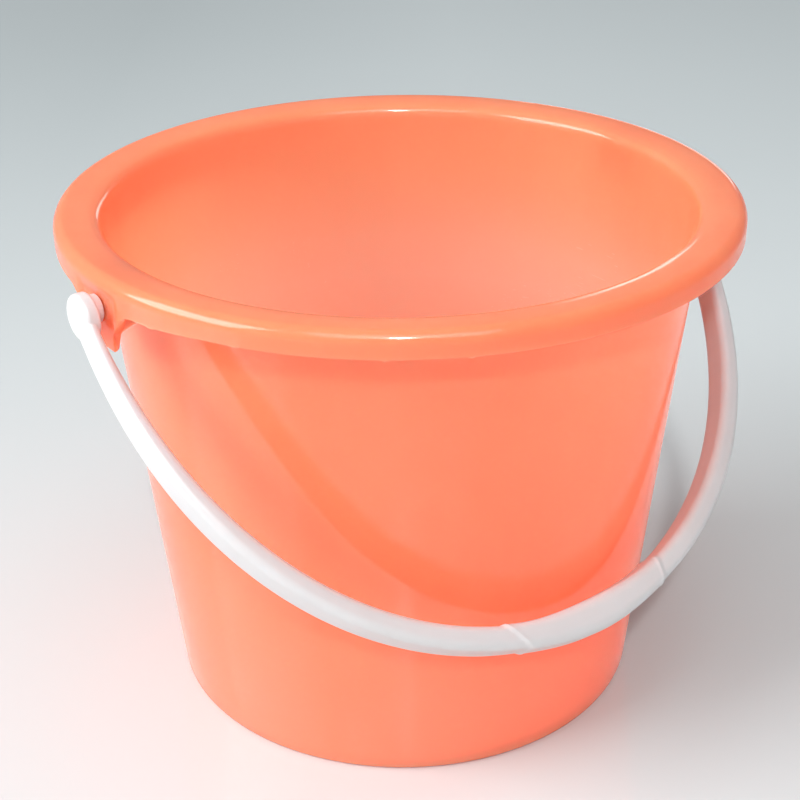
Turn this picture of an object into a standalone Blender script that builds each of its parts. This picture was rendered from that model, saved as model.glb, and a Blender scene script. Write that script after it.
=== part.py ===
"""Toy sand bucket: a tapered one-piece bucket with a rolled rim and two hinge
lugs, and a one-piece bail handle that snaps into the lugs.

Units are metres, +Z up. The origin is the centre of the base's underside. The
handle swings about the X axis through both lugs and hangs towards -Y.
"""
import bpy
import bmesh
from math import pi, sin, cos, tan, sqrt, radians, exp, copysign
from mathutils import Vector, Matrix

MM = 0.001

# ---- bucket -------------------------------------------------------------
RIM_R = 70.0            # outermost radius of the rolled rim
RIM_TOP = 107.9         # height of the rim's crown, the bucket's full height
CROWN_R = 67.8          # radius at which the crown is highest
CROWN_DROP = 2.35       # height of the outer quarter round above the skirt
SKIRT_BOTTOM = 102.8    # lower edge of the rim's skirt
SKIRT_T = 1.2           # skirt thickness at its lower edge
BASE_R = 51.0           # outer wall radius at the base
WALL_TOP_R = 61.47      # outer wall radius level with the skirt's lower edge
WALL_T = 1.3            # wall thickness
FLOOR_T = 1.6           # floor thickness
FOOT_H = 0.8            # the floor sits this far above the foot ring's face
FOOT_R = 44.0           # inner radius of the flat foot ring
CORNER_R = 1.1          # radius of the outer bottom edge
SEGMENTS = 88           # facets round the bucket

# ---- hinge lugs ---------------------------------------------------------
LUG_FACE = 69.3         # distance from the bucket's axis to a lug's flat face
LUG_T = 1.9             # ear plate thickness at the pivot
LUG_HALF_W = 5.2        # half the width of a lug
LUG_BOTTOM = 93.3       # lower edge of the ear plate
RIB_T = 1.2             # thickness of the two side ribs
RIB_BOTTOM = 96.6       # lower edge of the ribs at the ear plate
RIB_RISE = 1.6          # the edge rises this much towards the wall
PIVOT_Z = 100.8         # height of the pivot axis
HOLE_R = 2.2            # radius of the pin hole

# ---- handle -------------------------------------------------------------
HANG = 46.7             # angle of the resting handle below the horizontal
BAIL_HALF = 73.6        # half the bail's width, centre line to centre line
BAIL_REACH = 89.0       # from the pivot axis to the middle of the grip
BAIL_EXP_X = 1.99       # exponents of the bail's rounded-U curve
BAIL_EXP_S = 2.357
ARM_DEEP = 4.9          # arm section: thickness in the bail's plane
ARM_WIDE = 7.4          # and width across that plane
ARM_ROUND = 0.7         # corner radius, as a share of the section's half thickness
END_DEEP = 2.1          # the same two sizes where the arm leaves a disc
END_WIDE = 5.9
END_SHIFT = 0.5         # the arm's end leans in by this much, to meet the disc
END_FADE = 9.0          # and straightens over about this length
ROOT_WIDE = 2.2         # extra width where the arm grows out of the disc
ROOT_LENGTH = 5.4       # length of that wider root
END_BLEND = 0.25        # share of the half bail over which one becomes the other
GRIP_HALF = 0.267       # half the grip's length, as the curve's angle (radians)
GRIP_STEP = 0.014       # length of the step at each end, in the same measure
GRIP_EDGE = (1.10, 1.05)    # grip size over the arm's at its ends: deep, wide
GRIP_SWELL = (0.28, 0.06)   # further size at its middle
DISC_R = 4.0            # end disc
DISC_IN, DISC_OUT = 71.1, 74.0
DISC_EDGE = 0.8         # rounding of the disc's edges
COLLAR_R = 2.7          # collar between the disc and the lug
GAP = 0.3               # play between the collar and the lug's face
PIN_R = 1.9             # pin through the lug
HEAD_R = 2.65           # snap head behind the ear plate
HEAD_OUT, HEAD_IN = 67.1, 65.3
STATIONS = 60           # sections along the bail
SECTION_POINTS = 16     # points round each section


def clear_scene():
    for o in list(bpy.data.objects):
        bpy.data.objects.remove(o, do_unlink=True)


def new_object(name, bm, material=None):
    mesh = bpy.data.meshes.new(name)
    bm.to_mesh(mesh)
    bm.free()
    obj = bpy.data.objects.new(name, mesh)
    bpy.context.scene.collection.objects.link(obj)
    if material is not None:
        mesh.materials.append(material)
    return obj


def plastic(name, colour, roughness):
    mat = bpy.data.materials.new(name)
    mat.use_nodes = True
    node = mat.node_tree.nodes["Principled BSDF"]
    node.inputs["Base Color"].default_value = (*colour, 1.0)
    node.inputs["Roughness"].default_value = roughness
    node.inputs["Metallic"].default_value = 0.0
    return mat


def wall_r(z):
    """Outer radius of the tapered wall at height z."""
    return BASE_R + (WALL_TOP_R - BASE_R) * z / SKIRT_BOTTOM


def bucket_profile():
    """(radius, height) pairs in mm, from the axis under the floor, up the
    outside, over the rim and down the inside to the axis above the floor."""
    p = [(0.0, FOOT_H), (FOOT_R - 1.0, FOOT_H), (FOOT_R, 0.0)]
    for k in range(4):                                   # outer bottom edge
        a = radians(-90 + 30 * k)
        p.append((BASE_R - CORNER_R + CORNER_R * cos(a) + 0.1 * k / 3,
                  CORNER_R + CORNER_R * sin(a)))
    p.append((wall_r(50.0), 50.0))
    p.append((wall_r(96.0), 96.0))
    p.append((wall_r(104.2), 104.2))
    # underside of the rolled rim, an open channel
    p += [(62.3, 105.7), (63.9, 106.35), (66.6, 106.55), (68.1, 106.1),
          (RIM_R - SKIRT_T - 0.1, 105.0), (RIM_R - SKIRT_T, SKIRT_BOTTOM)]
    # skirt and crown
    p += [(RIM_R - 0.04, SKIRT_BOTTOM)]
    for k in range(5):
        a = radians(22.5 * k)
        p.append((CROWN_R + (RIM_R - CROWN_R) * cos(a),
                  RIM_TOP - CROWN_DROP + CROWN_DROP * sin(a)))
    for k in (1, 2, 3):                                  # flat inward slope
        a = radians(24.5 * k)
        p.append((CROWN_R - 5.94 * sin(a), RIM_TOP - 0.96 + 0.96 * cos(a)))
    p += [(61.15, 106.75), (60.6, 106.0)]
    p.append((wall_r(104.2) - WALL_T, 104.2))
    p.append((wall_r(50.0) - WALL_T, 50.0))
    zf = FOOT_H + FLOOR_T
    p.append((wall_r(zf + 1.6) - WALL_T, zf + 1.6))      # inner fillet
    p.append((wall_r(zf) - WALL_T - 0.45, zf + 0.45))
    p.append((wall_r(zf) - WALL_T - 1.6, zf))
    p.append((0.0, zf))
    return p


def revolve(points, segments):
    """Closed solid of revolution about Z, spun from an open profile whose ends
    lie on the axis."""
    bm = bmesh.new()
    verts = [bm.verts.new((r * MM, 0.0, z * MM)) for r, z in points]
    edges = [bm.edges.new(pair) for pair in zip(verts[:-1], verts[1:])]
    bmesh.ops.spin(bm, geom=verts + edges, cent=(0, 0, 0), axis=(0, 0, 1),
                   angle=2 * pi, steps=segments, use_merge=True)
    bmesh.ops.remove_doubles(bm, verts=bm.verts, dist=1e-6)
    bmesh.ops.recalc_face_normals(bm, faces=bm.faces)
    return bm


def prism_y(points, y0, y1):
    """An (x, z) outline in mm extruded along Y."""
    bm = bmesh.new()
    face = bm.faces.new([bm.verts.new((x * MM, y0 * MM, z * MM)) for x, z in points])
    out = bmesh.ops.extrude_face_region(bm, geom=[face])
    moved = [g for g in out["geom"] if isinstance(g, bmesh.types.BMVert)]
    bmesh.ops.translate(bm, verts=moved, vec=(0, (y1 - y0) * MM, 0))
    bmesh.ops.recalc_face_normals(bm, faces=bm.faces)
    return bm


def rod_x(radius, x0, x1, segments=32, r1=None):
    """A round rod, or a cone when r1 is given, along X in mm."""
    bm = bmesh.new()
    lo, hi = min(x0, x1), max(x0, x1)
    r_lo, r_hi = (radius, r1 if r1 is not None else radius)
    if x0 > x1:
        r_lo, r_hi = r_hi, r_lo
    bmesh.ops.create_cone(bm, cap_ends=True, segments=segments, radius1=r_lo * MM,
                          radius2=r_hi * MM, depth=(hi - lo) * MM,
                          matrix=Matrix.Translation(((lo + hi) / 2 * MM, 0, 0))
                          @ Matrix.Rotation(pi / 2, 4, "Y"))
    bmesh.ops.recalc_face_normals(bm, faces=bm.faces)
    return bm


def tool(name, bm, matrix=None):
    """A helper shape for a Boolean: not part of the object."""
    obj = new_object(name, bm)
    if matrix is not None:
        obj.matrix_world = matrix
    obj.hide_render = True
    obj.display_type = "WIRE"
    return obj


def boolean(obj, other, operation):
    m = obj.modifiers.new(operation.lower() + "_" + other.name, "BOOLEAN")
    m.operation = operation
    m.object = other
    m.solver = "EXACT"


def apply_modifiers(obj):
    dg = bpy.context.evaluated_depsgraph_get()
    dg.update()
    mesh = bpy.data.meshes.new_from_object(obj.evaluated_get(dg), depsgraph=dg)
    obj.modifiers.clear()
    obj.data = mesh


def build_bucket(material):
    bucket = new_object("bucket", revolve(bucket_profile(), SEGMENTS), material)
    inner = LUG_FACE - LUG_T
    ear = [(LUG_FACE, LUG_BOTTOM), (LUG_FACE, 105.6), (inner - 0.6, 107.0), (inner, 104.2),
           (inner, 98.2), (LUG_FACE - 1.0, 95.0), (LUG_FACE - 0.45, LUG_BOTTOM)]
    rib = [(LUG_FACE - 0.9, RIB_BOTTOM), (LUG_FACE - 0.9, 106.0),
           (wall_r(106.0) - 0.6, 106.9),
           (wall_r(RIB_BOTTOM) - 0.6, RIB_BOTTOM + RIB_RISE)]
    flat = [(LUG_FACE, LUG_BOTTOM - 1), (LUG_FACE + 2, LUG_BOTTOM - 1),
            (LUG_FACE + 2, 105.2), (LUG_FACE, 104.6)]
    for side, turn in (("left", pi), ("right", 0.0)):
        spin = Matrix.Rotation(turn, 4, "Z")
        w = LUG_HALF_W
        boolean(bucket, tool("ear_" + side, prism_y(ear, -w, w), spin), "UNION")
        boolean(bucket, tool("rib_a_" + side, prism_y(rib, -w + 0.02, -w + RIB_T), spin), "UNION")
        boolean(bucket, tool("rib_b_" + side, prism_y(rib, w - RIB_T, w - 0.02), spin), "UNION")
        boolean(bucket, tool("flat_" + side, prism_y(flat, -w - 0.3, w + 0.3), spin), "DIFFERENCE")
        hole = Matrix.Translation((0, 0, PIVOT_Z * MM))
        boolean(bucket, tool("hole_" + side, rod_x(HOLE_R, 64.4, 71.0, 32), spin @ hole), "DIFFERENCE")
    return bucket


def bail_point(t):
    """(across, along) of the bail's centre line in mm at curve angle t, from
    -pi/2 at the left disc through 0 at the middle of the grip to pi/2."""
    x = BAIL_HALF * copysign(abs(sin(t)) ** (2 / BAIL_EXP_X), sin(t))
    s = BAIL_REACH * max(cos(t), 0.0) ** (2 / BAIL_EXP_S)
    return x - copysign(END_SHIFT * exp(-s / END_FADE), t), s


def ease(t):
    t = min(max(t, 0.0), 1.0)
    return t * t * (3 - 2 * t)


def section_size(t):
    """Half sizes in mm of the rounded rectangle at t, in the bail's plane and
    across it."""
    k = exp(-(1 - abs(t) / (pi / 2)) / END_BLEND)
    g = min(max((GRIP_HALF + GRIP_STEP / 2 - abs(t)) / GRIP_STEP, 0.0), 1.0)
    swell = cos(min(abs(t) / GRIP_HALF, 1.0) * pi / 2) ** 2
    sizes = []
    for arm, end, edge, extra in zip((ARM_DEEP, ARM_WIDE), (END_DEEP, END_WIDE),
                                     GRIP_EDGE, GRIP_SWELL):
        sizes.append((end * k + arm * (1 - k)) / 2 * (1 + g * (edge - 1 + extra * swell)))
    s = bail_point(t)[1]
    sizes[1] += ROOT_WIDE / 2 * ease(1 - s / ROOT_LENGTH) * (0.3 + 0.7 * ease(s / 2.4))
    return sizes


def section_ring(t, count):
    """Offsets (outwards, out of plane) in mm round the section at t, with a
    quarter of the points on each rounded corner."""
    deep, wide = section_size(t)
    r = ARM_ROUND * min(deep, wide)
    per = count // 4
    ring = []
    for corner in range(4):
        sx, sy = ((1, 1), (-1, 1), (-1, -1), (1, -1))[corner]
        for k in range(per):
            a = pi / 2 * (corner + k / (per - 1))
            ring.append((sx * (deep - r) + r * cos(a), sy * (wide - r) + r * sin(a)))
    return ring


def stations():
    """Curve angles of the sections: even along the arms, with a close pair at
    each end of the grip."""
    lim = pi / 2
    lo, hi = GRIP_HALF - GRIP_STEP / 2, GRIP_HALF + GRIP_STEP / 2
    arm = [hi + (lim - hi) * (k / (STATIONS * 0.38)) for k in range(int(STATIONS * 0.38) + 1)]
    grip = [lo * k / (STATIONS * 0.12) for k in range(int(STATIONS * 0.12))] + [lo]
    half = sorted(set(grip + arm))
    half[-1] = lim
    return [-t for t in reversed(half[1:])] + half


def sweep_bail():
    bm = bmesh.new()
    rings = []
    for t in stations():
        x, s = bail_point(t)
        e = 1e-4
        if abs(t) > pi / 2 - 1e-3:
            tx, ts = 0.0, copysign(1.0, -t)
        else:
            x0, s0 = bail_point(t - e)
            x1, s1 = bail_point(t + e)
            n = sqrt((x1 - x0) ** 2 + (s1 - s0) ** 2)
            tx, ts = (x1 - x0) / n, (s1 - s0) / n
        ox, os_ = -ts, tx                     # outwards in the plane
        ring = []
        for m, n_up in section_ring(t, SECTION_POINTS):
            ring.append(bm.verts.new(((x + m * ox) * MM, -(s + m * os_) * MM, n_up * MM)))
        rings.append(ring)
    for r0, r1 in zip(rings[:-1], rings[1:]):
        for k in range(SECTION_POINTS):
            j = (k + 1) % SECTION_POINTS
            bm.faces.new((r0[k], r0[j], r1[j], r1[k]))
    bm.faces.new(rings[0])
    bm.faces.new(rings[-1])
    bmesh.ops.recalc_face_normals(bm, faces=bm.faces)
    return bm


def build_handle(material):
    """The bail lies in its own XY plane, reaching towards -Y, with its origin
    on the pivot axis, and is tipped down about X to its resting angle."""
    handle = new_object("handle", sweep_bail(), material)
    for side, sgn in (("left", -1.0), ("right", 1.0)):
        disc = new_object("disc_" + side, rod_x(DISC_R, sgn * DISC_IN, sgn * DISC_OUT, 36))
        bev = disc.modifiers.new("edge", "BEVEL")
        bev.width = DISC_EDGE * MM
        bev.segments = 3
        bev.limit_method = "ANGLE"
        apply_modifiers(disc)
        disc.hide_render = True
        disc.display_type = "WIRE"
        boolean(handle, disc, "UNION")
        boolean(handle, tool("collar_" + side, rod_x(COLLAR_R, sgn * (LUG_FACE + GAP), sgn * (DISC_IN + 0.4), 32)), "UNION")
        boolean(handle, tool("pin_" + side, rod_x(PIN_R, sgn * (HEAD_OUT - 0.3), sgn * (LUG_FACE + GAP + 0.4), 32)), "UNION")
        boolean(handle, tool("head_" + side, rod_x(PIN_R * 0.75, sgn * HEAD_IN, sgn * HEAD_OUT, 32, r1=HEAD_R)), "UNION")
    apply_modifiers(handle)
    for side in ("left", "right"):
        for part in ("disc_", "collar_", "pin_", "head_"):
            bpy.data.objects.remove(bpy.data.objects[part + side], do_unlink=True)
    handle.location = (0.0, 0.0, PIVOT_Z * MM)
    handle.rotation_euler = (radians(HANG), 0.0, 0.0)
    return handle


def finish(obj, angle=35.0):
    obj.data.shade_smooth()
    obj.data.set_sharp_from_angle(angle=radians(angle))


def main():
    clear_scene()
    orange = plastic("bucket_orange", (1.0, 0.235, 0.085), 0.22)
    white = plastic("handle_white", (0.86, 0.84, 0.84), 0.35)
    bucket = build_bucket(orange)
    apply_modifiers(bucket)
    for o in list(bpy.data.objects):
        if o is not bucket:
            bpy.data.objects.remove(o, do_unlink=True)
    handle = build_handle(white)
    finish(bucket)
    finish(handle)


main()
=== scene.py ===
from math import pi, sin, cos, sqrt, radians, degrees, exp, copysign, asin

import bpy
import bmesh
import numpy as np
from mathutils import Vector, Matrix


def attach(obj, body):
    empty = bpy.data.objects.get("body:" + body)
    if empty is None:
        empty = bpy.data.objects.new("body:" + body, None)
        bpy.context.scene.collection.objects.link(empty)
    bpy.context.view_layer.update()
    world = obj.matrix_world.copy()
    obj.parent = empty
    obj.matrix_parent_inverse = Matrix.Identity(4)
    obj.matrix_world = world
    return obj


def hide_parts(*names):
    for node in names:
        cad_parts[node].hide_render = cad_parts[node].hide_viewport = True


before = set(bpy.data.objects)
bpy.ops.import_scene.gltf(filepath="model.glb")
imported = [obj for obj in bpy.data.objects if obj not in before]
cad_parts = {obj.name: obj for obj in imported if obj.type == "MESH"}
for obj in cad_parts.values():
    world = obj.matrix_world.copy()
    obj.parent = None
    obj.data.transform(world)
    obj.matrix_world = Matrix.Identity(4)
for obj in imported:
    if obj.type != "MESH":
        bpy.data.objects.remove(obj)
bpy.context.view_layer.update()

MM = 0.001

# ---------------------------------------------------------------- dimensions
RIM_R, RIM_TOP, CROWN_R, CROWN_DROP = 70.0, 107.9, 67.8, 2.35
SKIRT_BOTTOM, SKIRT_T = 102.8, 1.2
BASE_R, WALL_TOP_R, WALL_T = 51.0, 61.47, 1.3
FLOOR_T, FOOT_H, FOOT_R, CORNER_R = 1.6, 0.8, 44.0, 1.1
EAR_X, EAR_IN, EAR_W, EAR_BOTTOM = 69.3, 67.4, 5.2, 93.3
RIB_IN, RIB_OUT, RIB_EAR_Z = 3.65, 4.85, 96.6
FLARE_Y = 12.0                  # the skirt's edge sweeps down into the ear from here
PIVOT_Z, HOLE_R = 100.8, 2.2
HANG, BAIL_HALF, BAIL_REACH = 46.7, 73.45, 88.97
BAIL_EXP_X, BAIL_EXP_S = 1.99, 2.357
ARM_DEEP, ARM_WIDE, ARM_ROUND = 4.9, 7.4, 0.7
END_DEEP, END_WIDE, END_BLEND = 2.1, 5.9, 0.25
ROOT_WIDE, ROOT_LENGTH = 1.3, 6.5      # extra width where the arm grows out of the disc
DISC_R, DISC_SHIFT = 4.55, (0.9, -0.35)  # end disc, set a little down the arm from the axis
GRIP_HALF, GRIP_STEP = 0.267, 0.014
GRIP_EDGE, GRIP_SWELL = (1.10, 1.05), (0.28, 0.06)


def wall_r(z):
    return BASE_R + (WALL_TOP_R - BASE_R) * z / SKIRT_BOTTOM


def smooth(t):
    t = min(max(t, 0.0), 1.0)
    return t * t * (3 - 2 * t)


def spline(points, count):
    """Points evenly spaced along a Catmull-Rom curve through the given ones."""
    p = np.array(points, float)
    p = np.vstack([2 * p[0] - p[1], p, 2 * p[-1] - p[-2]])
    out = []
    for i in range(1, len(p) - 2):
        for t in np.linspace(0, 1, 24, endpoint=False):
            a, b, c, d = p[i - 1], p[i], p[i + 1], p[i + 2]
            out.append(0.5 * (2 * b + (c - a) * t + (2 * a - 5 * b + 4 * c - d) * t * t
                              + (3 * b - a - 3 * c + d) * t ** 3))
    out.append(p[-2])
    out = np.array(out)
    s = np.r_[0, np.cumsum(np.linalg.norm(np.diff(out, axis=0), axis=1))]
    want = np.linspace(0, s[-1], count)
    return np.stack([np.interp(want, s, out[:, 0]), np.interp(want, s, out[:, 1])], 1)


def line(a, b, count):
    t = np.linspace(0, 1, count)[:, None]
    return np.array(a, float) * (1 - t) + np.array(b, float) * t


# ------------------------------------------------------------------- bucket
# Each column of the shell is one closed run of (radius, height) points: under
# the floor, up the wall, round the channel under the rim, down to the skirt's
# edge, over the crown and down the inside. The run keeps its point count, so
# the ears and ribs are the same surface pulled into shape.

BURRS = ((-166.0, 0.30, 1.5), (-129.0, 0.22, 0.9), (-117.0, 0.26, 0.8), (-151.0, 0.12, 0.7),
         (38.0, 0.20, 1.0), (104.0, 0.16, 0.8), (148.0, 0.22, 1.1), (-62.0, 0.14, 0.7))


def skirt_bottom(y, azimuth):
    """Height of the skirt's lower edge: an ear near the pivot axis, a small
    fillet beside it, tiny flash burrs elsewhere."""
    r = 0.9
    if y <= EAR_W - r:
        z = EAR_BOTTOM
    elif y < EAR_W + 0.001:
        z = EAR_BOTTOM + r - sqrt(max(r * r - (y - EAR_W + r) ** 2, 0.0))
    else:
        z = SKIRT_BOTTOM - 0.65 * smooth((30.0 - y) / 16.0)
        if y < FLARE_Y:
            z -= 5.1 * ((FLARE_Y - y) / (FLARE_Y - EAR_W)) ** 2.2
    if y > FLARE_Y + 1.0:
        for at, depth, width in BURRS:
            d = (azimuth - at + 180) % 360 - 180
            d = d * pi / 180 * RIM_R / width
            if abs(d) < 1:
                z -= depth * (1 - d * d) ** 2
    return z


def ear_inner_x(z):
    """Inner face of the ear plate, thinning to its lower edge."""
    if z >= 98.2:
        return EAR_IN
    if z >= 95.0:
        return EAR_IN + (98.2 - z) / 3.2 * 0.9
    return EAR_IN + 0.9 + (95.0 - z) / 1.7 * 0.55


def column(azimuth, y, kind):
    """The closed run at one azimuth (degrees); y is the distance in mm from
    the pivot axis's plane on the ear. kind is 'rib', 'ear' or 'plain'."""
    near = y < 30
    zb = skirt_bottom(y, azimuth)
    in_w = smooth((EAR_W + 4.5 - y) / 4.5) if near else 0.0      # 1 on the ear
    p = []

    # underside: gate mark at the middle, shallow floor, foot ring
    p += [(1.2, 0.42), (1.55, 0.46), (1.7, 0.6), (2.0, FOOT_H - 0.03), (2.6, FOOT_H)]
    p += [tuple(q) for q in line((8.0, FOOT_H), (FOOT_R - 1.9, FOOT_H), 8)]
    p += [tuple(q) for q in spline([(FOOT_R - 1.5, FOOT_H), (FOOT_R - 1.0, FOOT_H - 0.06),
                                    (FOOT_R - 0.5, 0.4), (FOOT_R - 0.1, 0.06), (FOOT_R + 0.3, 0.0)], 9)]
    p += [(FOOT_R + 1.5, 0.0), (46.5, 0.0), (48.2, 0.0), (49.4, 0.0)]
    for k in range(1, 10):
        a = radians(-90 + 10 * k)
        p.append((BASE_R - CORNER_R + 0.02 + CORNER_R * cos(a) + 0.1 * k / 9,
                  CORNER_R + CORNER_R * sin(a)))
    # outer wall
    for z in np.r_[np.linspace(2.2, 88.0, 26), np.linspace(90.0, 98.2, 9)]:
        p.append((wall_r(z), z))
    # upper wall, hidden channel and the inside of the skirt
    up = line((wall_r(98.2), 98.2), (wall_r(104.4), 104.4), 10)[1:]
    arch = spline([(wall_r(104.9), 104.9), (62.3, 105.75), (63.9, 106.35), (66.6, 106.5),
                   (68.1, 106.05), (68.62, 105.1)], 15)
    if in_w > 0:
        x0 = arch[0, 0]
        target = EAR_IN * in_w + 68.62 * (1 - in_w)
        arch[:, 0] = x0 + (arch[:, 0] - x0) * (target - x0) / (68.62 - x0)
    z_split = max(RIB_EAR_Z, zb + 0.35)
    if kind == "rib":
        down = line((EAR_IN, 105.0), (ear_inner_x(RIB_EAR_Z), RIB_EAR_Z), 13)[1:]
    else:
        down = line((68.62, 105.0), (68.7, z_split), 13)[1:]
        for q in down:
            q[0] = ear_inner_x(q[1]) * in_w + q[0] * (1 - in_w)
    chain = np.vstack([up, arch, down])
    if kind == "rib":
        full = np.vstack([[wall_r(98.2), 98.2], chain])
        s = np.r_[0, np.cumsum(np.linalg.norm(np.diff(full, axis=0), axis=1))][1:]
        # spread along the rib's lower edge, so that its side face has no folds
        t = s / s[-1]
        a = np.array((wall_r(98.2), 98.2))
        b = np.array((ear_inner_x(RIB_EAR_Z), RIB_EAR_Z))
        chain = a * (1 - t[:, None]) + b * t[:, None]
        sag = 0.35 * np.sin(np.clip(t, 0, 1) * pi) ** 0.8
        chain[:, 1] += sag
    p += [tuple(q) for q in chain]
    # the last stretch of the inner face, the edge, and its small rounds
    e = 0.22
    low = []
    for z in np.linspace(z_split, zb + e, 5)[1:]:
        low.append((ear_inner_x(z) * in_w + (68.72) * (1 - in_w), z))
    p += low
    xi = low[-1][0]
    # corner of the inner edge
    p.append((xi + 0.06, zb + 0.07))
    p.append((xi + 0.2, zb))

    def outer(z):
        """Outer radius of the skirt at height z, flat on the ear."""
        if z <= 105.55:
            plain = RIM_R
        else:
            plain = CROWN_R + (RIM_R - CROWN_R) * sqrt(max(0.0, 1 - ((z - 105.55) / CROWN_DROP) ** 2))
        if not near or y > 9.4:
            return plain
        m = (1 - smooth((y - EAR_W) / 3.6)) * smooth((106.1 - z) / 2.7)
        flat = sqrt(EAR_X ** 2 + y * y)
        round_ = 0.0
        if EAR_W - 0.6 < y <= EAR_W + 0.001:
            u = (y - (EAR_W - 0.6)) / 0.6
            round_ = (0.6 - 0.6 * sqrt(max(0.0, 1 - min(u, 1.0) ** 2))) * smooth((96.9 - z) / 1.4)
        return (plain * (1 - m) + min(flat, plain) * m) - round_

    ro = outer(zb + 0.3)
    # the points so far hold x on the ear; turn them to radii further down
    edge = [("r", ro - 0.3, zb), ("r", ro - 0.12, zb + 0.05), ("r", ro - 0.03, zb + 0.14)]
    p += edge
    for z in np.linspace(zb + 0.3, 101.6, 12):
        zz = z if zb < 101.0 else zb + 0.3 + (103.0 - zb - 0.3) * (z - zb - 0.3) / (101.6 - zb - 0.3 + 1e-9)
        p.append(("r", outer(zz), zz))
    z_last = p[-1][2]
    for z in np.linspace(z_last, 105.55, 9)[1:]:
        p.append(("r", outer(z), z))
    for k in range(1, 15):
        a = pi / 2 * k / 14
        z = 105.55 + CROWN_DROP * sin(a)
        r = CROWN_R + (RIM_R - CROWN_R) * cos(a)
        if near and y < 9.4 and z < 106.1:
            r = min(r, outer(z))
        p.append(("r", r, z))
    inward = []
    for k in range(1, 15):
        a = radians(68.0) * k / 14
        inward.append((CROWN_R - 5.94 * sin(a), RIM_TOP - 0.96 + 0.96 * cos(a)))
    p += [("r", r, z) for r, z in inward]
    lip = spline([inward[-1], (61.55, 107.02), (60.85, 106.35), (60.52, 105.45),
                  (wall_r(104.2) - WALL_T, 104.2)], 12)[1:]
    p += [("r", r, z) for r, z in lip]
    zf = FOOT_H + FLOOR_T
    for z in np.linspace(104.2, zf + 1.9, 28)[1:]:
        p.append(("r", wall_r(z) - WALL_T, z))
    rc = wall_r(zf) - WALL_T - 1.6
    for k in range(1, 9):
        a = pi / 2 * k / 8
        p.append(("r", rc + 1.6 * cos(a) + 0.15 * (1 - k / 8), zf + 1.6 - 1.6 * sin(a)))
    for r in (44.0, 38.0, 30.0, 22.0, 14.0, 8.0, 4.0, 1.6):
        p.append(("r", r, zf))

    out = []
    for q in p:
        if q[0] == "r":
            out.append((q[1], q[2], False))
        else:
            out.append((q[0], q[1], True))
    return out


def bucket_mesh():
    half = [0.0, 0.7, 1.4, 2.1, 2.8, 3.3, 3.62, 3.68, 3.9, 4.2, 4.5, 4.66, 4.82, 4.88, 4.96, 5.03,
            5.09, 5.14, 5.175, 5.195, 5.2, 5.24, 5.3, 5.42, 5.6, 5.85, 6.15, 6.5, 6.9, 7.3, 7.7, 8.1,
            8.6, 9.2, 9.9, 10.7, 11.6]
    cols = []                       # (azimuth in degrees, y on the ear, side)
    for centre in (0.0, 180.0):
        for y in half:
            a = degrees(asin(y / EAR_X))
            cols.append((centre + a, y))
            if y > 0:
                cols.append((centre - a, y))
    lim = degrees(asin(half[-1] / EAR_X))
    step = 1.35
    n = int(round((180 - 2 * lim) / step))
    for centre in (0.0, 180.0):
        for k in range(1, n):
            cols.append((centre + lim + (180 - 2 * lim) * k / n, 99.0))
    for at, depth, width in BURRS:
        w = degrees(width / RIM_R)
        for t in (-1.0, -0.7, -0.4, 0.0, 0.4, 0.7, 1.0):
            cols.append((at + t * w, 99.0))
    cols = sorted(((a % 360.0, y) for a, y in cols), key=lambda c: c[0])
    keep = [cols[0]]
    for c in cols[1:]:
        if c[1] < 90 or c[0] - keep[-1][0] > 0.12:
            keep.append(c)
    cols = keep
    verts, runs = [], []
    for a, y in cols:
        kind = "plain"
        if RIB_IN < y < RIB_OUT:
            kind = "rib"
        phi = radians(a)
        pts = column(a, y if y < 90 else EAR_X * abs(sin(phi)) + 0.001, kind)
        flip = 1.0 if cos(phi) > 0 else -1.0
        side = 1.0 if (sin(phi) > 0) == (flip > 0) else -1.0      # turning sense from the ear's middle
        row = []
        for r, z, is_x in pts:
            # near an ear the columns run at a constant y instead of fanning out
            par = 0.0
            if y < 30 and z > 84.0 and r > 50:
                par = smooth((z - 84.0) / 5.0) * (1 - smooth((y - 8.6) / 3.0))
            ya = y if y < 30 else 0.0
            if is_x and y < 9.5 and r > 60 and z > 90:
                # r is an x here, on the flat faces
                wall = r < wall_r(z) + 0.01
                r = r if wall else sqrt(r * r + min(ya, EAR_W) ** 2)
            if par > 0:
                th_par = asin(min(ya / r, 1.0))
                th_rad = asin(min(ya / EAR_X, 1.0))
                th = th_par * par + th_rad * (1 - par)
                ang = (0.0 if flip > 0 else pi) + th * side
            else:
                ang = phi
            row.append(len(verts))
            verts.append((r * cos(ang) * MM, r * sin(ang) * MM, z * MM))
        runs.append(row)
    bottom = len(verts)
    verts.append((0, 0, 0.40 * MM))
    top = len(verts)
    verts.append((0, 0, (FOOT_H + FLOOR_T) * MM))
    faces = []
    n = len(runs)
    m = len(runs[0])
    for i in range(n):
        a, b = runs[i], runs[(i + 1) % n]
        faces.append((bottom, b[0], a[0]))
        for k in range(m - 1):
            faces.append((a[k], b[k], b[k + 1], a[k + 1]))
        faces.append((a[-1], b[-1], top))
    mesh = bpy.data.meshes.new("bucket_shell")
    mesh.from_pydata(verts, [], faces)
    mesh.validate()
    mesh.update()
    return mesh


def add(name, mesh):
    obj = bpy.data.objects.new(name, mesh)
    bpy.context.scene.collection.objects.link(obj)
    return obj


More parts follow.
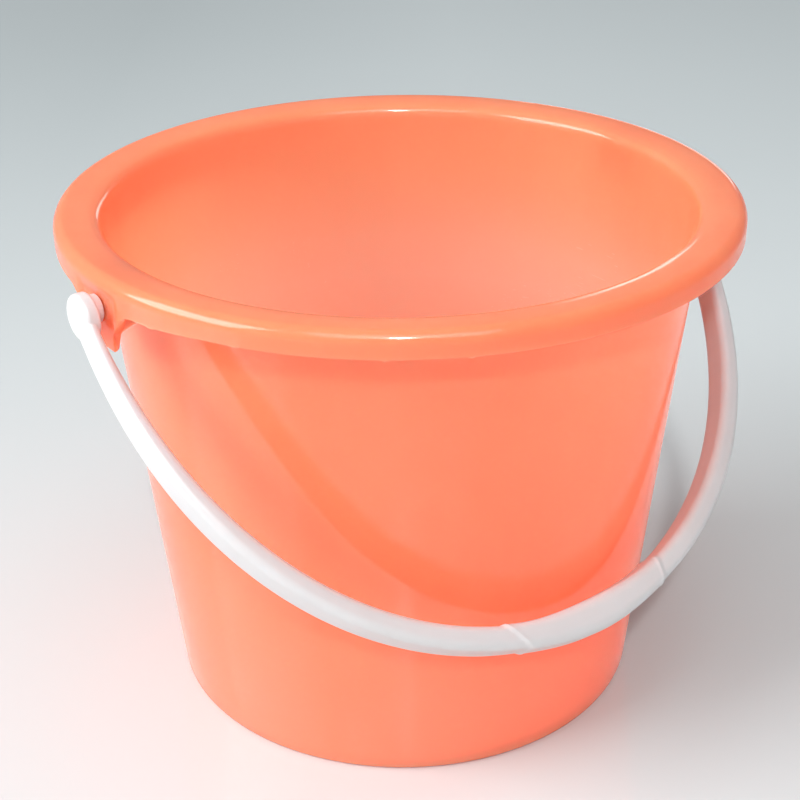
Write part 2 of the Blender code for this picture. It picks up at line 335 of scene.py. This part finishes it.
def lathe_x(profile, segments, flip):
    """Closed solid of revolution about X from (x, r) pairs in mm."""
    verts, faces, rings = [], [], []
    for x, r in profile:
        if r <= 0:
            rings.append([len(verts)])
            verts.append((flip * x * MM, 0, 0))
        else:
            ring = []
            for k in range(segments):
                a = 2 * pi * k / segments
                ring.append(len(verts))
                verts.append((flip * x * MM, r * cos(a) * MM, r * sin(a) * MM))
            rings.append(ring)
    for a, b in zip(rings[:-1], rings[1:]):
        for k in range(segments):
            j = (k + 1) % segments
            if len(a) == 1:
                faces.append((a[0], b[k], b[j]))
            elif len(b) == 1:
                faces.append((a[k], b[0], a[j]))
            else:
                faces.append((a[k], b[k], b[j], a[j]))
    mesh = bpy.data.meshes.new("lathe")
    mesh.from_pydata(verts, [], faces)
    mesh.update()
    bm = bmesh.new()
    bm.from_mesh(mesh)
    bmesh.ops.recalc_face_normals(bm, faces=bm.faces)
    bm.to_mesh(mesh)
    bm.free()
    return mesh


def join_solids(obj, tools, operation):
    for t in tools:
        mod = obj.modifiers.new("join", "BOOLEAN")
        mod.operation = operation
        mod.object = t
        mod.solver = "EXACT"
    dg = bpy.context.evaluated_depsgraph_get()
    dg.update()
    mesh = bpy.data.meshes.new_from_object(obj.evaluated_get(dg), depsgraph=dg)
    obj.modifiers.clear()
    obj.data = mesh
    for t in tools:
        bpy.data.objects.remove(t, do_unlink=True)


def outward(obj):
    bm = bmesh.new()
    bm.from_mesh(obj.data)
    bmesh.ops.remove_doubles(bm, verts=bm.verts, dist=2e-7)
    bmesh.ops.recalc_face_normals(bm, faces=bm.faces)
    bm.to_mesh(obj.data)
    bm.free()


bucket = add("bucket_moulding", bucket_mesh())
outward(bucket)
holes = []
for side in (1, -1):
    h = add("hole", lathe_x([(66.0, 0), (66.0, HOLE_R), (71.0, HOLE_R), (71.0, 0)], 72, side))
    h.data.transform(Matrix.Translation((0, 0, PIVOT_Z * MM)) @ Matrix.Rotation(radians(1.7), 4, "X"))
    holes.append(h)
join_solids(bucket, holes, "DIFFERENCE")


# ------------------------------------------------------------------- handle
def bail_point(t):
    x = BAIL_HALF * copysign(abs(sin(t)) ** (2 / BAIL_EXP_X), sin(t))
    s = BAIL_REACH * max(cos(t), 0.0) ** (2 / BAIL_EXP_S)
    return x - copysign(0.5 * exp(-s / 9.0), t), s


def section_ring(t, count):
    """Offsets (outwards, out of plane) round the section at t. The grip's ends
    are cut on a slant, further from the middle on the bail's inner side."""
    k = exp(-(1 - abs(t) / (pi / 2)) / END_BLEND)
    deep = (END_DEEP * k + ARM_DEEP * (1 - k)) / 2
    wide = (END_WIDE * k + ARM_WIDE * (1 - k)) / 2
    s = bail_point(t)[1]
    wide += ROOT_WIDE / 2 * smooth(1 - s / ROOT_LENGTH) * (0.3 + 0.7 * smooth(s / 2.4))
    slant = 0.034 if t < 0 else 0.017
    ring = []
    for m, n in plain_ring(deep, wide, (ARM_ROUND + (1 - ARM_ROUND) * k) * min(deep, wide), count):
        at = abs(t) + slant * m / deep
        g = smooth((GRIP_HALF + GRIP_STEP / 2 - at) / GRIP_STEP)
        swell = cos(min(abs(t) / GRIP_HALF, 1.0) * pi / 2) ** 2
        ridge = 0.13 * exp(-((at - (GRIP_HALF - 0.011)) / 0.0042) ** 2)
        size = sqrt(m * m + n * n)
        ring.append((m * (1 + g * (GRIP_EDGE[0] - 1 + GRIP_SWELL[0] * swell) + ridge / size),
                     n * (1 + g * (GRIP_EDGE[1] - 1 + GRIP_SWELL[1] * swell) + ridge / size)))
    return ring


def plain_ring(deep, wide, r, count):
    per = count // 4
    arc = per * 3 // 4
    ring = []
    for corner in range(4):
        sx, sy = ((1, 1), (-1, 1), (-1, -1), (1, -1))[corner]
        for k in range(arc):
            a = pi / 2 * (corner + k / (arc - 1))
            ring.append((sx * (deep - r) + r * cos(a), sy * (wide - r) + r * sin(a)))
        # flat between this corner and the next
        x0, y0 = ring[-1]
        nsx, nsy = ((1, 1), (-1, 1), (-1, -1), (1, -1))[(corner + 1) % 4]
        a = pi / 2 * (corner + 1)
        x1, y1 = nsx * (deep - r) + r * cos(a), nsy * (wide - r) + r * sin(a)
        for k in range(1, per - arc + 1):
            f = k / (per - arc + 1)
            ring.append((x0 + (x1 - x0) * f, y0 + (y1 - y0) * f))
    return ring


def bail_mesh():
    lim = pi / 2
    ts = list(np.linspace(0, 0.205, 22)) + list(np.linspace(0.207, 0.327, 62)) + \
        list(np.linspace(0.335, 1.25, 80)) + list(np.linspace(1.26, lim, 40))
    ts = [-t for t in reversed(ts[1:])] + ts
    count = 48
    verts, rings, faces = [], [], []
    for t in ts:
        x, s = bail_point(t)
        e = 1e-4
        if abs(t) > lim - 1e-3:
            tx, tt = 0.0, copysign(1.0, -t)
        else:
            x0, s0 = bail_point(t - e)
            x1, s1 = bail_point(t + e)
            n = sqrt((x1 - x0) ** 2 + (s1 - s0) ** 2)
            tx, tt = (x1 - x0) / n, (s1 - s0) / n
        ox, os_ = -tt, tx
        ring = []
        for m, n_up in section_ring(t, count):
            ring.append(len(verts))
            verts.append(((x + m * ox) * MM, -(s + m * os_) * MM, n_up * MM))
        rings.append(ring)
    for r0, r1 in zip(rings[:-1], rings[1:]):
        for k in range(count):
            j = (k + 1) % count
            faces.append((r0[k], r0[j], r1[j], r1[k]))
    faces.append(tuple(rings[0]))
    faces.append(tuple(reversed(rings[-1])))
    mesh = bpy.data.meshes.new("bail")
    mesh.from_pydata(verts, [], faces)
    mesh.update()
    return mesh


handle = add("handle_moulding", bail_mesh())
outward(handle)


def arc(cx, cr, rad, a0, a1, n):
    return [(cx + rad * cos(radians(a0 + (a1 - a0) * k / n)), cr + rad * sin(radians(a0 + (a1 - a0) * k / n)))
            for k in range(n + 1)]


boss = [(65.3, 0.0), (65.3, 1.15)] + arc(65.75, 1.35, 0.32, 165, 120, 3)
boss += [(66.2, 2.02), (66.75, 2.5)] + arc(66.9, 2.45, 0.2, 110, 0, 5) + [(67.1, 2.2), (67.1, 1.9)]
boss += [(69.45, 1.9), (69.45, 2.45)] + arc(69.7, 2.45, 0.25, 180, 90, 5)
boss += [(70.8, 2.7), (70.95, 2.76), (71.1, 2.92), (71.6, 2.92), (71.6, 0.0)]
disc = [(71.1, 0.0), (71.1, 1.6), (71.1, DISC_R - 0.75)] + arc(71.85, DISC_R - 0.75, 0.75, 180, 90, 10)
disc += [(72.8, DISC_R)] + arc(73.11, DISC_R - 0.95, 0.95, 88, 6, 14)
disc += [(74.07, DISC_R - 1.4), (74.06, 2.2), (74.05, 1.1), (74.05, 0.0)]
tools = []
for side in (1, -1):
    tools.append(add("boss", lathe_x(boss, 128, side)))
    cap = add("disc", lathe_x(disc, 144, side))
    cap.data.transform(Matrix.Translation((0, -DISC_SHIFT[0] * MM, DISC_SHIFT[1] * MM)))
    tools.append(cap)
join_solids(handle, tools, "UNION")
outward(handle)
handle.data.transform(Matrix.Translation((0, 0, PIVOT_Z * MM)) @ Matrix.Rotation(radians(HANG), 4, "X"))

for obj in (bucket, handle):
    obj.data.shade_smooth()
    obj.data.set_sharp_from_angle(angle=radians(38))


# ---------------------------------------------------------------- materials
def tree(name):
    mat = bpy.data.materials.new(name)
    mat.use_nodes = True
    nt = mat.node_tree
    return mat, nt, nt.nodes["Principled BSDF"]


def noise(nt, coords, scale, detail=3.0, rough=0.5, stretch=None):
    source = coords
    if stretch is not None:
        mp = nt.nodes.new("ShaderNodeMapping")
        mp.inputs["Scale"].default_value = stretch
        nt.links.new(coords, mp.inputs["Vector"])
        source = mp.outputs["Vector"]
    n = nt.nodes.new("ShaderNodeTexNoise")
    n.inputs["Scale"].default_value = scale
    n.inputs["Detail"].default_value = detail
    n.inputs["Roughness"].default_value = rough
    nt.links.new(source, n.inputs["Vector"])
    return n.outputs["Fac"]


def remap(nt, value, a, b, c, d, clamp=True):
    n = nt.nodes.new("ShaderNodeMapRange")
    n.clamp = clamp
    for k, v in zip(("From Min", "From Max", "To Min", "To Max"), (a, b, c, d)):
        n.inputs[k].default_value = v
    nt.links.new(value, n.inputs["Value"])
    return n.outputs["Result"]


def mix_colour(nt, fac, a, b):
    n = nt.nodes.new("ShaderNodeMix")
    n.data_type = "RGBA"
    for sock, v in ((6, a), (7, b)):
        if isinstance(v, tuple):
            n.inputs[sock].default_value = (*v, 1.0)
        else:
            nt.links.new(v, n.inputs[sock])
    if isinstance(fac, float):
        n.inputs[0].default_value = fac
    else:
        nt.links.new(fac, n.inputs[0])
    return n.outputs[2]


def maths(nt, op, a, b):
    n = nt.nodes.new("ShaderNodeMath")
    n.operation = op
    for k, v in enumerate((a, b)):
        if isinstance(v, (int, float)):
            n.inputs[k].default_value = v
        else:
            nt.links.new(v, n.inputs[k])
    return n.outputs["Value"]


def scratches(nt, coords, across, along, turn, above):
    """Sparse hairline scratches: the peaks of a noise drawn out along one direction."""
    mp = nt.nodes.new("ShaderNodeMapping")
    mp.inputs["Rotation"].default_value = turn
    mp.inputs["Scale"].default_value = (1.0, along / across, 1.0)
    nt.links.new(coords, mp.inputs["Vector"])
    n = nt.nodes.new("ShaderNodeTexNoise")
    n.inputs["Scale"].default_value = across
    n.inputs["Detail"].default_value = 0.0
    nt.links.new(mp.outputs["Vector"], n.inputs["Vector"])
    return remap(nt, n.outputs["Fac"], above, above + 0.05, 0.0, 1.0)


def bucket_material():
    mat, nt, bsdf = tree("bucket_plastic_look")
    co = nt.nodes.new("ShaderNodeTexCoord").outputs["Object"]
    cloud = noise(nt, co, 26.0, 4.0, 0.55)
    flow = noise(nt, co, 60.0, 3.0, 0.5, (1.0, 1.0, 0.12))
    t = maths(nt, "ADD", maths(nt, "MULTIPLY", cloud, 0.6), maths(nt, "MULTIPLY", flow, 0.4))
    t = remap(nt, t, 0.32, 0.68, 0.0, 1.0)
    colour = mix_colour(nt, t, (1.0, 0.190, 0.093), (1.0, 0.221, 0.111))
    rough = remap(nt, noise(nt, co, 90.0, 4.0, 0.6), 0.35, 0.65, 0.085, 0.125)
    marks = maths(nt, "MAXIMUM", scratches(nt, co, 2600.0, 60.0, (0.3, 0.7, 0.4), 0.76),
                  scratches(nt, co, 2200.0, 45.0, (1.2, -0.5, 2.0), 0.77))
    marks = maths(nt, "MULTIPLY", marks, remap(nt, noise(nt, co, 35.0, 2.0), 0.5, 0.62, 0.0, 1.0))
    rough = maths(nt, "ADD", rough, maths(nt, "MULTIPLY", marks, 0.10))
    # the inside of the wall and floor is duller, from the mould and from sand
    xyz = nt.nodes.new("ShaderNodeSeparateXYZ")
    nt.links.new(co, xyz.inputs[0])
    radius = maths(nt, "SQRT", maths(nt, "ADD", maths(nt, "MULTIPLY", xyz.outputs[0], xyz.outputs[0]),
                                     maths(nt, "MULTIPLY", xyz.outputs[1], xyz.outputs[1])), 0.0)
    depth = maths(nt, "SUBTRACT", maths(nt, "ADD", maths(nt, "MULTIPLY", xyz.outputs[2], (WALL_TOP_R - BASE_R) / SKIRT_BOTTOM),
                                        (BASE_R - WALL_T / 2) * MM), radius)
    inside = remap(nt, depth, -0.0002, 0.0002, 0.0, 1.0)
    inside = maths(nt, "MULTIPLY", inside, remap(nt, xyz.outputs[2], 0.0012, 0.0018, 0.0, 1.0))
    inside = maths(nt, "MULTIPLY", inside, remap(nt, xyz.outputs[2], 0.076, 0.1042, 1.0, 0.0))
    rough = maths(nt, "ADD", rough, maths(nt, "MULTIPLY", inside, 0.12))
    # painted light: paler low inside, standing in for the light that falls into the bucket and its broad sheen; and a
    # slightly paler foot, a painted sheen of the bright floor
    painted_inside_light = maths(nt, "MULTIPLY", inside, remap(nt, xyz.outputs[2], 0.066, 0.098, 1.0, 0.0))
    colour = mix_colour(nt, painted_inside_light, colour, (1.0, 0.300, 0.220))
    # painted sheen: the lowest part is made paler for the bright floor's reflection on it
    foot = remap(nt, xyz.outputs[2], 0.012, 0.046, 1.0, 0.0)
    colour = mix_colour(nt, maths(nt, "MULTIPLY", foot, 0.8), colour, (1.0, 0.236, 0.136))
    nt.links.new(colour, bsdf.inputs["Base Color"])
    nt.links.new(rough, bsdf.inputs["Roughness"])
    bsdf.inputs["IOR"].default_value = 1.49
    bsdf.inputs["Subsurface Weight"].default_value = 1.0
    bsdf.inputs["Subsurface Radius"].default_value = (1.0, 0.6, 0.5)
    bsdf.inputs["Subsurface Scale"].default_value = 0.0135
    # painted glow: a little red light of its own, standing in for the light that passes through the thin wall
    bsdf.inputs["Emission Color"].default_value = (1.0, 0.09, 0.03, 1.0)
    bsdf.inputs["Emission Strength"].default_value = 0.13
    peel = noise(nt, co, 420.0, 2.0, 0.5)
    height = maths(nt, "ADD", maths(nt, "MULTIPLY", peel, 0.35),
                   maths(nt, "ADD", maths(nt, "MULTIPLY", flow, 1.1), maths(nt, "MULTIPLY", marks, -0.06)))
    bump = nt.nodes.new("ShaderNodeBump")
    bump.inputs["Strength"].default_value = 0.12
    bump.inputs["Distance"].default_value = 0.0002
    nt.links.new(height, bump.inputs["Height"])
    nt.links.new(bump.outputs["Normal"], bsdf.inputs["Normal"])
    return mat


def handle_material():
    mat, nt, bsdf = tree("handle_plastic_look")
    co = nt.nodes.new("ShaderNodeTexCoord").outputs["Object"]
    cloud = noise(nt, co, 40.0, 4.0, 0.55)
    grime = remap(nt, noise(nt, co, 130.0, 5.0, 0.65), 0.56, 0.74, 0.0, 1.0)
    colour = mix_colour(nt, remap(nt, cloud, 0.35, 0.65, 0.0, 1.0), (0.675, 0.655, 0.66), (0.715, 0.70, 0.705))
    colour = mix_colour(nt, maths(nt, "MULTIPLY", grime, 0.25), colour, (0.66, 0.635, 0.625))
    nt.links.new(colour, bsdf.inputs["Base Color"])
    rough = remap(nt, noise(nt, co, 150.0, 4.0, 0.6), 0.35, 0.65, 0.30, 0.40)
    marks = maths(nt, "MAXIMUM", scratches(nt, co, 3000.0, 80.0, (0.2, 1.1, 0.9), 0.75),
                  scratches(nt, co, 2600.0, 70.0, (0.9, 0.2, -0.8), 0.76))
    rough = maths(nt, "ADD", rough, maths(nt, "MULTIPLY", marks, 0.10))
    nt.links.new(rough, bsdf.inputs["Roughness"])
    bsdf.inputs["IOR"].default_value = 1.49
    bsdf.inputs["Subsurface Weight"].default_value = 0.45
    bsdf.inputs["Subsurface Radius"].default_value = (1.0, 0.85, 0.8)
    bsdf.inputs["Subsurface Scale"].default_value = 0.0015
    peel = noise(nt, co, 600.0, 3.0, 0.55)
    height = maths(nt, "ADD", maths(nt, "MULTIPLY", peel, 0.6), maths(nt, "MULTIPLY", marks, -0.08))
    bump = nt.nodes.new("ShaderNodeBump")
    bump.inputs["Strength"].default_value = 0.12
    bump.inputs["Distance"].default_value = 0.0002
    nt.links.new(height, bump.inputs["Height"])
    nt.links.new(bump.outputs["Normal"], bsdf.inputs["Normal"])
    return mat


bucket.data.materials.clear()
bucket.data.materials.append(bucket_material())
handle.data.materials.clear()
handle.data.materials.append(handle_material())

for obj, body, node_name, slot_name in ((bucket, "bucket_body", "bucket", "bucket_plastic"),
                                        (handle, "handle_body", "handle", "handle_plastic")):
    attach(obj, body)
    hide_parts(node_name)


# ------------------------------------------------------- floor, light, camera
def floor_mesh():
    n = 24
    half = 3.2
    verts = [((-half + 2 * half * i / n), (-half + 2 * half * j / n), 0.0) for j in range(n + 1) for i in range(n + 1)]
    faces = [(j * (n + 1) + i, j * (n + 1) + i + 1, (j + 1) * (n + 1) + i + 1, (j + 1) * (n + 1) + i)
             for j in range(n) for i in range(n)]
    mesh = bpy.data.meshes.new("floor")
    mesh.from_pydata(verts, [], faces)
    return mesh


floor = add("floor", floor_mesh())
mat, nt, bsdf = tree("floor_look")
# painted light falloff: paler near the camera, darker and cooler further off, and darker towards the left
where = nt.nodes.new("ShaderNodeTexCoord").outputs["Object"]
away = nt.nodes.new("ShaderNodeVectorMath")
away.operation = "DOT_PRODUCT"
nt.links.new(where, away.inputs[0])
away.inputs[1].default_value = (0.596, 0.803, 0.0)
far = nt.nodes.new("ShaderNodeMapRange")
far.interpolation_type = "SMOOTHSTEP"
for k, v in zip(("From Min", "From Max", "To Min", "To Max"), (-0.12, 0.62, 0.0, 1.0)):
    far.inputs[k].default_value = v
nt.links.new(away.outputs["Value"], far.inputs["Value"])
aside = nt.nodes.new("ShaderNodeVectorMath")
aside.operation = "DOT_PRODUCT"
nt.links.new(where, aside.inputs[0])
aside.inputs[1].default_value = (0.803, -0.596, 0.0)
far_painted_falloff = mix_colour(nt, remap(nt, aside.outputs["Value"], -0.14, 0.03, 0.0, 1.0), (0.465, 0.506, 0.516), (0.575, 0.618, 0.628))
nt.links.new(mix_colour(nt, far.outputs["Result"], (0.645, 0.68, 0.685), far_painted_falloff), bsdf.inputs["Base Color"])
bsdf.inputs["Roughness"].default_value = 0.12
bsdf.inputs["Specular IOR Level"].default_value = 0.5
floor.data.materials.append(mat)

scene = bpy.context.scene
world = bpy.data.worlds.new("studio")
world.use_nodes = True
wnt = world.node_tree
bg = wnt.nodes["Background"]
bg.inputs["Strength"].default_value = 0.50
scene.world = world

CAM = Vector((-0.186071, -0.249877, 0.219352))
FORWARD = Vector((0.53040166, 0.71465629, -0.45600489))
UP = Vector((0.28197634, 0.35855043, 0.88990501))
RIGHT = Vector((0.79947697, -0.60058968, -0.01134042))


def area(name, place, aim, size_x, size_y, power, colour=(1, 1, 1)):
    data = bpy.data.lights.new(name, "AREA")
    data.shape = "RECTANGLE"
    data.size = size_x
    data.size_y = size_y
    data.energy = power
    data.color = colour
    obj = bpy.data.objects.new(name, data)
    scene.collection.objects.link(obj)
    obj.location = place
    obj.rotation_euler = (Vector(aim) - Vector(place)).to_track_quat("-Z", "Y").to_euler()
    return obj


flat_f = Vector((FORWARD.x, FORWARD.y, 0)).normalized()
flat_r = Vector((RIGHT.x, RIGHT.y, 0)).normalized()
up = Vector((0, 0, 1))

# the room: dimmer and cooler beyond the object, brighter behind the camera and to the left
gen = wnt.nodes.new("ShaderNodeTexCoord").outputs["Generated"]
toward = wnt.nodes.new("ShaderNodeVectorMath")
toward.operation = "DOT_PRODUCT"
wnt.links.new(gen, toward.inputs[0])
toward.inputs[1].default_value = tuple((-flat_f * 0.75 - flat_r * 0.55 + up * 0.35).normalized())
room = wnt.nodes.new("ShaderNodeMapRange")
for k, v in zip(("From Min", "From Max", "To Min", "To Max"), (-0.75, 0.8, 0.0, 1.0)):
    room.inputs[k].default_value = v
wnt.links.new(toward.outputs["Value"], room.inputs["Value"])
ramp = wnt.nodes.new("ShaderNodeMix")
ramp.data_type = "RGBA"
ramp.inputs[6].default_value = (0.50, 0.545, 0.565, 1.0)
ramp.inputs[7].default_value = (1.12, 1.10, 1.09, 1.0)
wnt.links.new(room.outputs["Result"], ramp.inputs[0])
wnt.links.new(ramp.outputs[2], bg.inputs["Color"])
centre = Vector((0, 0, 0.06))
# a window to the left, a little in front
area("window", centre - flat_r * 1.9 - flat_f * 0.55 + up * 1.25, centre, 1.8, 1.35, 58.0, (0.955, 0.985, 1.0))
# a pale ceiling above and behind the camera, and the lamp on it
ceiling = area("ceiling", centre - flat_f * 1.25 + up * 1.55, centre, 1.7, 1.1, 17.0, (1.0, 0.985, 0.99))
ceiling.visible_diffuse = False          # only its sheen on the gloss
area("lamp", centre - flat_f * 1.2 + up * 1.10, centre, 0.10, 0.10, 9.5)
glint = area("glint", centre - flat_f * 1.2 + up * 1.11, centre, 0.10, 0.10, 4.0)
glint.visible_diffuse = False
# soft light from straight above, which reaches inside
top = area("top", centre - flat_f * 0.25 + up * 1.5, centre, 0.9, 0.9, 4.0, (0.93, 0.98, 1.0))
top.visible_glossy = False
# a pale wall behind and to the right, seen only as a thin line on the bucket's gloss
wall = area("wall", flat_f * 0.97 + flat_r * 0.27 + up * 0.20, Vector((0, 0, 0.10)), 0.34, 0.18, 0.42)
wall.visible_diffuse = False
wall.visible_camera = False
shown = bpy.data.collections.new("wall_shown_on")
shown.objects.link(bucket)
wall.light_linking.receiver_collection = shown

cam_data = bpy.data.cameras.new("view")
cam_data.sensor_width = 36.0
cam_data.lens = 1604.28 * 36.0 / 800.0
cam_data.clip_start = 0.01
cam_data.clip_end = 50.0
cam = bpy.data.objects.new("view", cam_data)
scene.collection.objects.link(cam)
back = -FORWARD.normalized()
cam.matrix_world = Matrix(((RIGHT.x, UP.x, back.x, CAM.x),
                           (RIGHT.y, UP.y, back.y, CAM.y),
                           (RIGHT.z, UP.z, back.z, CAM.z),
                           (0, 0, 0, 1)))
scene.camera = cam
scene.view_settings.view_transform = "Standard"
